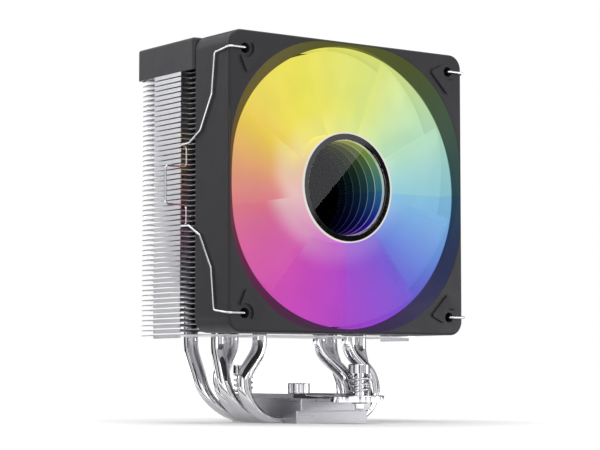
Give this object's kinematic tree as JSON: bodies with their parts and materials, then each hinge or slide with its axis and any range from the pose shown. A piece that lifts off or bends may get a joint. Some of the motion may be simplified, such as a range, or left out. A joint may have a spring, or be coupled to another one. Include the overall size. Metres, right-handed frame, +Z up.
{
  "type": "cpu tower cooler",
  "caption": "Tower heatsink for a processor: bent heat pipes through stacked fins over a two-part base, with a lit square fan held on by wire clips.",
  "frame": {"origin": "centre of the contact face under the base", "axes": "+Z up along the tower, the fan faces -Y, +X to the right of someone looking at the fan"},
  "size_m": [0.136, 0.1038, 0.1565],
  "materials": {
    "frame_plastic": "satin black moulded plastic",
    "cover_plastic": "satin black moulded plastic",
    "pad_rubber": "dark grey rubber",
    "blade_plastic": "translucent white plastic, lit in colours",
    "bezel_plastic": "glossy black",
    "hub_glass": "smoked half mirror",
    "diffuser": "milky light guide",
    "hub_mirror": "mirror",
    "steel": "bright steel",
    "magnet": "dark ferrite",
    "bearing_brass": "sintered bronze",
    "copper_wire": "enamelled copper wire",
    "board": "green circuit board",
    "fin_aluminium": "bright stamped sheet",
    "pipe_nickel": "mirror nickel plating",
    "base_aluminium": "satin machined",
    "bar_chrome": "polished plating",
    "screw_chrome": "polished plating",
    "spring_steel": "bright plated wire",
    "clip_chrome": "bright plated wire"
  },
  "bodies": {
    "cooler": {"fan_frame": "frame_plastic", "front_pads": "pad_rubber", "rear_pads": "pad_rubber", "sleeve_bearing": "bearing_brass", "bearing_cap": "pad_rubber", "stator_core": "steel", "windings": "copper_wire", "driver_board": "board", "hub_lights": "diffuser", "fin_stack": "fin_aluminium", "top_cover": "cover_plastic", "heat_pipe_1": "pipe_nickel", "heat_pipe_2": "pipe_nickel", "heat_pipe_3": "pipe_nickel", "heat_pipe_4": "pipe_nickel", "lower_block": "base_aluminium", "upper_block": "base_aluminium", "crossbar": "bar_chrome", "front_spring": "spring_steel", "rear_spring": "spring_steel", "centre_stud": "steel"},
    "rotor": {"impeller": "blade_plastic", "hub_bezel": "bezel_plastic", "hub_glass": "hub_glass", "light_ring": "diffuser", "hub_mirror": "hub_mirror", "rotor_yoke": "steel", "ring_magnet": "magnet", "rotor_shaft": "steel", "shaft_clip": "steel"},
    "front_screw_guide": {"front_screw_clip": "steel"},
    "front_screw_spindle": {"front_screw": "screw_chrome"},
    "rear_screw_guide": {"rear_screw_clip": "steel"},
    "rear_screw_spindle": {"rear_screw": "screw_chrome"},
    "nut_seat": {"nut_washer": "steel"},
    "nut_body": {"centre_nut": "screw_chrome"},
    "left_clip_wire": {"left_clip": "clip_chrome"},
    "right_clip_wire": {"right_clip": "clip_chrome"}
  },
  "joints": [
    {"name": "fan_spin", "type": "hinge", "parent": "cooler", "child": "rotor", "pos_m": [0, -0.02, 0.0965], "axis": [0, -1, 0], "continuous": true},
    {"name": "front_screw_press", "type": "slide", "parent": "cooler", "child": "front_screw_guide", "axis": [0, 0, -1], "range_m": [0, 0.0035], "stiffness_N_per_m": 3000, "springref_m": -0.003, "deforming": ["front_spring"]},
    {"name": "front_screw_turn", "type": "hinge", "parent": "front_screw_guide", "child": "front_screw_spindle", "pos_m": [0, -0.0415, 0.02], "axis": [0, 0, 1], "continuous": true},
    {"name": "rear_screw_press", "type": "slide", "parent": "cooler", "child": "rear_screw_guide", "axis": [0, 0, -1], "range_m": [0, 0.0035], "stiffness_N_per_m": 3000, "springref_m": -0.003, "deforming": ["rear_spring"]},
    {"name": "rear_screw_turn", "type": "hinge", "parent": "rear_screw_guide", "child": "rear_screw_spindle", "pos_m": [0, 0.0415, 0.02], "axis": [0, 0, 1], "continuous": true},
    {"name": "nut_lift", "type": "slide", "parent": "cooler", "child": "nut_seat", "axis": [0, 0, 1], "range_m": [0, 0.0035]},
    {"name": "nut_turn", "type": "hinge", "parent": "nut_seat", "child": "nut_body", "pos_m": [0, 0, 0.014], "axis": [0, 0, 1], "range_deg": [0, 1800]},
    {"name": "left_clip_pull", "type": "slide", "parent": "cooler", "child": "left_clip_wire", "axis": [0, -1, 0], "range_m": [0, 0.005]},
    {"name": "right_clip_pull", "type": "slide", "parent": "cooler", "child": "right_clip_wire", "axis": [0, -1, 0], "range_m": [0, 0.005]}
  ],
  "couplings": [
    {"joint": "nut_turn", "follows": "nut_lift", "rad_per_m": 8975.9}
  ]
}
